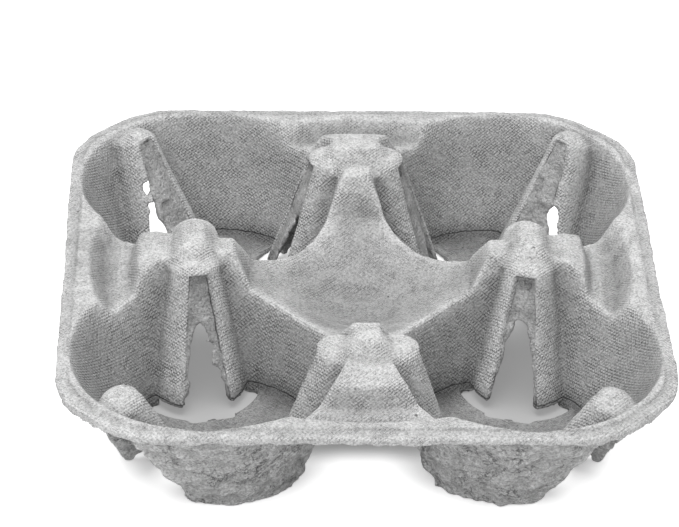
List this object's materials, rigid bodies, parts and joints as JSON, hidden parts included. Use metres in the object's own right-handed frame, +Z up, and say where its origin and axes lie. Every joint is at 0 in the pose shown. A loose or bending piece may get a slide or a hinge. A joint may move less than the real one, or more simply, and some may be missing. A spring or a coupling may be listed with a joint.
{
  "type": "four-cup carrier tray of moulded paper pulp",
  "caption": "Square moulded pulp cup carrier with round pockets, slotted ribs, knobbed towers and a raised rim.",
  "frame": {"origin": "centre of the tray on the ground, under the middle dish", "axes": "+X to the right, +Y to the back, +Z up out of the cup pockets"},
  "size_m": [0.215, 0.215, 0.0575],
  "materials": {
    "pulp": "rough matte grey recycled pulp, wire mesh print above and felted below"
  },
  "bodies": {
    "root": {"cup_carrier": "pulp"}
  },
  "joints": []
}
